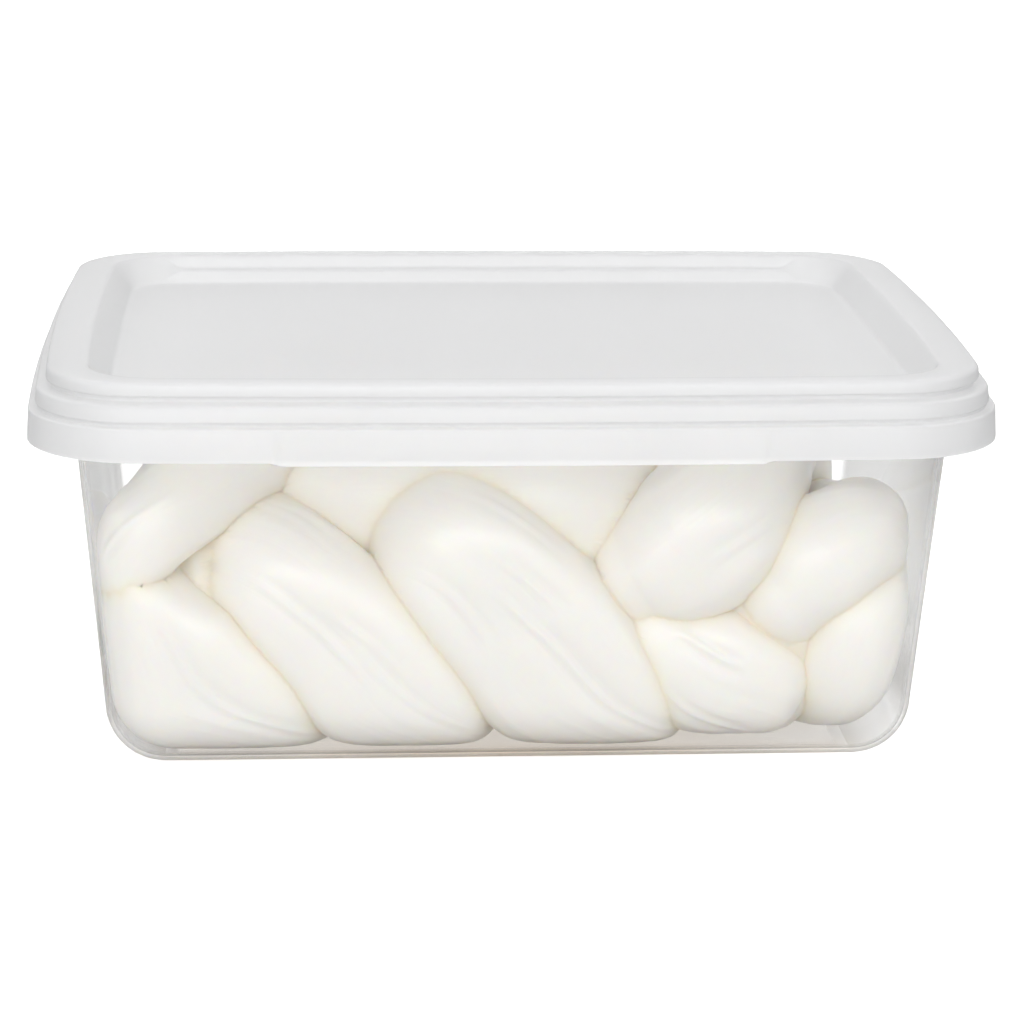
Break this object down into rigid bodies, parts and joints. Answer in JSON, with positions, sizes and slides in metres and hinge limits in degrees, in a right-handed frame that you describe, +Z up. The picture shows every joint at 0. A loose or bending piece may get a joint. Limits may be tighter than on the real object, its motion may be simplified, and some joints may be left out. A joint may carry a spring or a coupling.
{
  "type": "packed braided mozzarella",
  "caption": "Thick three-strand plait of white stretched-curd cheese in a clear rectangular tub with a milky press-fit lid.",
  "frame": {"origin": "middle of the tub's flat base, on the surface it stands on", "axes": "+X along the long side and the plait, +Z up; the front long side faces -Y"},
  "size_m": [0.172, 0.128, 0.0735],
  "materials": {
    "tub_plastic": "clear thin-walled moulded plastic, smooth, faintly grey at its edges and roundings",
    "lid_plastic": "milky translucent moulded plastic, satin, brighter along its rings and edges",
    "curd": "moist creamy white stretched curd, softly shining, finely ridged along each strand, warm in its creases"
  },
  "bodies": {
    "root": {"tub": "tub_plastic", "lid": "lid_plastic", "braid": "curd"}
  },
  "joints": []
}
